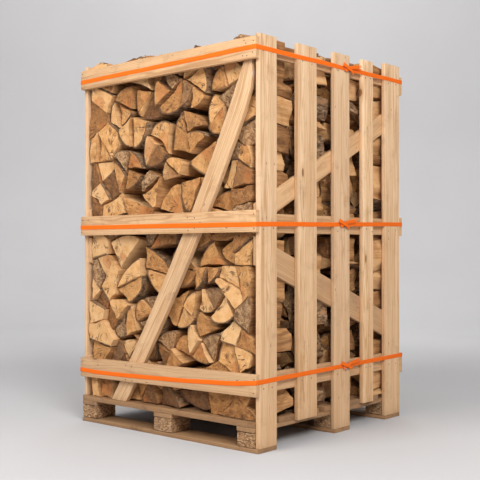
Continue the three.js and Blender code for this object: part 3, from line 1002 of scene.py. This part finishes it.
def ribbon(name, route, outward, wide, thick, loop, offset=0.0):
    """A flat strap along a route, its face turned outward: rounded edges, and cord coordinates for
    the weave. wide may be one width or a width for each point of the route."""
    route, outward = np.array(route), np.array(outward)
    step = np.linalg.norm(np.diff(route, axis=0), axis=1)
    along = np.concatenate([[0], np.cumsum(step)]) + offset
    forward = np.roll(route, -1, axis=0) - np.roll(route, 1, axis=0)
    if not loop:
        forward[0], forward[-1] = route[1] - route[0], route[-1] - route[-2]
    across = np.cross(outward, forward)
    across /= np.linalg.norm(across, axis=1)[:, None]
    outward = np.cross(forward, across)
    outward /= np.linalg.norm(outward, axis=1)[:, None]
    wide = np.broadcast_to(wide, len(route))
    flat = np.linspace(-0.94, 0.94, 9)
    upper, lower = [(part, 1.0) for part in flat], [(part, -1.0) for part in flat[::-1]]
    section = [(-1.0, 0.0), *upper, (1.0, 0.0), *lower]
    around = len(section)
    points, grain = [], []
    for centre, out, side, half, distance in zip(route, outward, across, wide / 2, along):
        for width, depth in section:
            points.append(centre + side * half * width + out * thick / 2 * depth)
            grain.append((distance, half * width, thick / 2 * depth))
    faces = []
    count = len(route)
    for ring in range(count if loop else count - 1):
        following = (ring + 1) % count
        for here in range(around):
            after = (here + 1) % around
            faces.append((ring * around + here, following * around + here, following * around + after,
                          ring * around + after))
    if not loop:
        faces.append(tuple(range(around))[::-1])
        faces.append(tuple(range((count - 1) * around, count * around)))
    points = np.array(points)
    if signed_volume(points, faces) < 0:
        faces = [face[::-1] for face in faces]
    attributes = {"grain": grain, "own": np.zeros((len(points), 3))}
    piece = make_piece(name, points, faces, attributes, [STRAP], sharp=70)
    return piece


def strap(level):
    """A strap held tight round the crate, in the place of its CAD band, with a slight wave."""
    node = f"strap_{level}"
    corners = np.array([v.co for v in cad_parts[node].data.vertices])
    low, high = corners.min(0), corners.max(0)
    ends = [(low[0], low[1]), (high[0], low[1]), (high[0], high[1]), (low[0], high[1])]
    heights = []
    for x, y in ends:
        near = corners[np.hypot(corners[:, 0] - x, corners[:, 1] - y) < 0.01, 2]
        heights.append(near.mean())
        wide = near.max() - near.min()
    route, outward = [], []
    in_front = corners[corners[:, 1] < low[1] + 2 * STRAP_THICK]
    columns = np.unique(in_front[:, 0].round(4))
    levels_in_front = [in_front[abs(in_front[:, 0] - x) < 1e-3, 2].mean() for x in columns]
    for index in range(4):
        a = np.array([*ends[index], heights[index]])
        b = np.array([*ends[(index + 1) % 4], heights[(index + 1) % 4]])
        face = np.array([[0, -1, 0], [1, 0, 0], [0, 1, 0], [-1, 0, 0]][index], float)
        for point in (a, b):
            point[:2] -= np.sign(point[:2]) * STRAP_THICK / 2
        bend = 0.0016 / np.linalg.norm(b - a)
        for part in [bend, *np.linspace(0.01, 0.99, 60), 1 - bend]:
            route.append(a + (b - a) * part)
            outward.append(face)
            if index == 0:
                route[-1][2] = np.interp(route[-1][0], columns, levels_in_front)
    route = np.array(route)
    route[:, 2] += smooth_noise(route, (5.0, 5.0, 0.0), heights[0] * 9) * 0.0016
    piece = ribbon(f"woven_{node}", route, outward, wide, STRAP_THICK, True)
    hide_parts(node)
    return wide


def arc(controls, steps):
    """A smooth run through a Bezier curve's control points, ends included."""
    return np.concatenate([bezier(controls, steps), [controls[-1]]])


def tie(level, wide):
    """The strap's end led through the wire buckle and folded over it, with a tail that frays."""
    buckle_low, buckle_high = BOXES[f"buckle_{level}"]
    centre = (buckle_low + buckle_high) / 2
    face = buckle_high.x
    rise = STRAP_THICK / 2

    def route(points):
        return [(face + out, centre.y + y, centre.z + z) for out, y, z in points]

    out = (1.0, 0.0, 0.0)
    fold = arc(route([(0.0008, -0.045, 0.018), (0.0022, -0.038, 0.015), (0.0078, -0.020, 0.008),
                      (0.0062, 0.0, 0.0), (0.0078, 0.020, -0.008), (0.0024, 0.038, -0.015),
                      (0.0008, 0.045, -0.018)]), 26)
    pinch = 1 - 0.16 * np.sin(np.linspace(0, math.pi, len(fold))) ** 2
    ribbon(f"fold_{level}", fold, [out] * len(fold), wide * 0.92 * pinch, STRAP_THICK, False, 3.0)
    under = arc(route([(-0.0012, -0.030, -0.012), (0.0005, -0.018, -0.008), (rise, 0.0, 0.0),
                       (0.0022, 0.022, 0.010)]), 12)
    ribbon(f"lap_{level}", under, [out] * len(under), wide * 0.8, STRAP_THICK, False, 5.0)
    tail = arc(route([(0.0015, -0.004, 0.002), (0.0034, 0.028, 0.011), (0.0052, 0.060, 0.016),
                      (0.0034, 0.086, 0.018)]), 18)
    tail_wide = wide * np.linspace(0.7, 0.95, len(tail))
    ribbon(f"tail_{level}", tail, [out] * len(tail), tail_wide, STRAP_THICK, False, 7.0)
    for strand in range(STRANDS):
        spread = (strand - STRANDS // 2) / (STRANDS // 2)
        tip = 0.102 + 0.014 * rng.random()
        start = (0.0034, 0.084, 0.0178 + spread * 0.0088)
        bend = (0.0030, 0.093, 0.0185 + spread * (0.0095 + 0.003 * rng.random()))
        lift = 0.0030 + 0.004 * rng.random()
        end = (lift, tip, 0.020 + spread * 0.012 + 0.004 * rng.normal())
        run = arc(route([start, bend, end]), 7)
        name = f"strand_{level}_{strand + 1}"
        ribbon(name, run, [out] * len(run), STRAND_WIDE, STRAND_THICK, False, 9.0 + strand)


# ---------------------------------------------------------------- nails

# Radius and height of each ring of a nail head.
NAIL_PROFILE = [(0.0034, -0.0012), (0.0034, 0.0002), (0.0029, 0.0006), (0.0014, 0.0009)]
NAIL_SIDES = 10


def nail(place, axis, sign):
    """A flat nail head, its foot sunk into a face that looks along an axis."""
    rings = []
    for radius, height in NAIL_PROFILE:
        ring = np.zeros((NAIL_SIDES, 3))
        turn = np.linspace(0, 2 * math.pi, NAIL_SIDES, endpoint=False)
        ring[:, (axis + 1) % 3] = radius * np.cos(turn)
        ring[:, (axis + 2) % 3] = radius * np.sin(turn)
        ring[:, axis] = sign * height
        rings.append(ring + place)
    return closed_loft(np.array(rings))


def build_nails():
    """Nail heads in pairs wherever a rail crosses a slat or ends on a side panel."""
    spots = []
    for side, sign in (("right", 1), ("left", -1)):
        for slat in range(1, 6):
            low, high = BOXES[f"{side}_slat_{slat}"]
            face = high.x if sign > 0 else low.x
            for level in LEVELS:
                rail_low, rail_high = BOXES[f"{side}_rail_{level}"]
                for part in (0.27, 0.73):
                    y = low.y + (high.y - low.y) * (part + rng.normal(0, 0.05))
                    z = rail_low.z + (rail_high.z - rail_low.z) * (0.3 + rng.normal(0, 0.1))
                    spots.append(((face, y, z), 0, sign))
    for side, sign in (("front", -1), ("back", 1)):
        brace_high = BOXES[f"{side}_brace"][1]
        for level in LEVELS:
            low, high = BOXES[f"{side}_rail_{level}"]
            face = low.y if sign < 0 else high.y
            across = outline_limits(f"{side}_brace", 2, 0, min((low.z + high.z) / 2, brace_high.z - 0.01))
            columns = [low.x + 0.012, high.x - 0.012, across[0] + 0.03, across[1] - 0.03]
            for x in columns:
                lower, upper = outline_limits(f"{side}_rail_{level}", 0, 2, x)
                for part in (0.2, 0.8):
                    z = lower + part * (upper - lower) + rng.normal(0, 0.005)
                    spots.append(((x + rng.normal(0, 0.003), face, z), 1, sign))
    points, faces = joined([nail(np.array(place), axis, sign) for place, axis, sign in spots])
    attributes = {"grain": points, "own": np.zeros((len(points), 3))}
    piece = make_piece("nail_heads", points, faces, attributes, [NAIL], sharp=30)


# ---------------------------------------------------------------- the object

build_boards()
build_logs()
build_nails()
for level in LEVELS:
    tie(level, strap(level))
    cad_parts[f"buckle_{level}"].data.materials[0] = WIRE


# ---------------------------------------------------------------- stage, lights and camera

FLOOR_RADIUS, WALL_HEIGHT = 9.0, 9.0
FLOOR_CURVE = 3.0              # radius of the curve between the floor and the wall
CURVE_STEPS, ROUND_STEPS = 12, 96
FLOOR_NEAR_PAINTED_SHADE, FLOOR_FAR_PAINTED_LIGHT, WALL = (0.53, 0.525, 0.53), (0.70, 0.692, 0.70), (0.62, 0.612, 0.617)

MIDDLE = (0, 0, 0.95)
LIGHTS = {                     # place, where it points, width and height, watts
    "key": ((-0.5, -4.7, 3.7), MIDDLE, 2.2, 160),
    "fill_right": ((4.1, -2.7, 3.6), MIDDLE, 2.0, 225),
    "top": ((0.6, -0.8, 6.2), (0, 0, 0), 4.5, 110),
    "back_fill": ((-3.2, 4.6, 4.4), MIDDLE, 2.5, 45),
    "wall_wash": ((-2.6, 3.2, 6.5), (-5.9, 6.8, 4.6), 2.5, 170),
}
AIR_COLOUR, AIR_STRENGTH = (1.0, 0.99, 0.98, 1.0), 0.30

CAMERA_PLACE = (3.1356, -3.6879, 0.9184)
CAMERA_TILT, CAMERA_TURN = 90.431, 40.655      # degrees
CAMERA_LENS = 67.56            # mm, on a sensor 36 mm wide


def studio_surface(name, near_painted_shade, far_painted_light, wall):
    """Matt paint with a faint cloudiness, and painted light: darker near the crate, palest where the floor
    meets the wall.
    """
    s = Shader(name, 0.9)
    place = s.add("ShaderNodeTexCoord").outputs["Object"]
    x, y, z = s.split(place)
    # Painted light: darker near the crate, paler farther out, and the wall's colour higher up.
    shade = s.mix(s.remap(s.length(s.join(x, y, 0.0)), 1.8, 4.5), near_painted_shade, far_painted_light)
    shade = s.mix(s.remap(z, 0.3, 4.0), shade, wall)
    cloud = s.noise(place, 0.8, 2.0)
    return s.finish(s.mix(s.remap(cloud, 0.3, 0.7, 0.0, 0.05), shade, (0.3, 0.3, 0.3)))


def studio():
    """A pale floor that curves up into a wall all round."""
    flat = FLOOR_RADIUS - FLOOR_CURVE
    profile = [(2.0, 0.0), (4.0, 0.0), (flat, 0.0)]
    for step in range(1, CURVE_STEPS + 1):
        turn = math.pi / 2 * step / CURVE_STEPS
        rise = FLOOR_CURVE - FLOOR_CURVE * math.cos(turn)
        profile.append((flat + FLOOR_CURVE * math.sin(turn), rise))
    profile.append((FLOOR_RADIUS, WALL_HEIGHT))
    points = [(0.0, 0.0, 0.0)]
    for radius, z in profile:
        for step in range(ROUND_STEPS):
            turn = 2 * math.pi * step / ROUND_STEPS
            points.append((radius * math.cos(turn), radius * math.sin(turn), z))
    faces = [(0, 1 + step, 1 + (step + 1) % ROUND_STEPS) for step in range(ROUND_STEPS)]
    for ring in range(len(profile) - 1):
        start = 1 + ring * ROUND_STEPS
        above = start + ROUND_STEPS
        for step in range(ROUND_STEPS):
            after = (step + 1) % ROUND_STEPS
            faces.append((start + step, above + step, above + after, start + after))
    mesh = bpy.data.meshes.new("studio_floor")
    mesh.from_pydata(points, [], faces)
    mesh.materials.append(studio_surface("studio_paint", FLOOR_NEAR_PAINTED_SHADE, FLOOR_FAR_PAINTED_LIGHT, WALL))
    mesh.shade_smooth()
    floor = bpy.data.objects.new("studio_floor", mesh)
    bpy.context.collection.objects.link(floor)


def soft_light(name, place, target, size, power):
    data = bpy.data.lights.new(name, "AREA")
    data.shape = "RECTANGLE"
    data.size, data.size_y = size, size
    data.energy = power
    light = bpy.data.objects.new(name, data)
    light.location = place
    light.rotation_euler = (Vector(target) - Vector(place)).to_track_quat("-Z", "Y").to_euler()
    bpy.context.collection.objects.link(light)


def lights():
    world = bpy.data.worlds.new("studio_air")
    world.use_nodes = True
    background = world.node_tree.nodes["Background"]
    background.inputs["Color"].default_value = AIR_COLOUR
    background.inputs["Strength"].default_value = AIR_STRENGTH
    bpy.context.scene.world = world
    for name, settings in LIGHTS.items():
        soft_light(name, *settings)


def camera():
    data = bpy.data.cameras.new("camera")
    data.sensor_width = 36.0
    data.lens = CAMERA_LENS
    data.clip_end = 60.0
    view = bpy.data.objects.new("camera", data)
    view.location = CAMERA_PLACE
    view.rotation_euler = (math.radians(CAMERA_TILT), 0.0, math.radians(CAMERA_TURN))
    bpy.context.collection.objects.link(view)
    bpy.context.scene.camera = view


studio()
lights()
camera()
bpy.context.scene.view_settings.view_transform = "Standard"
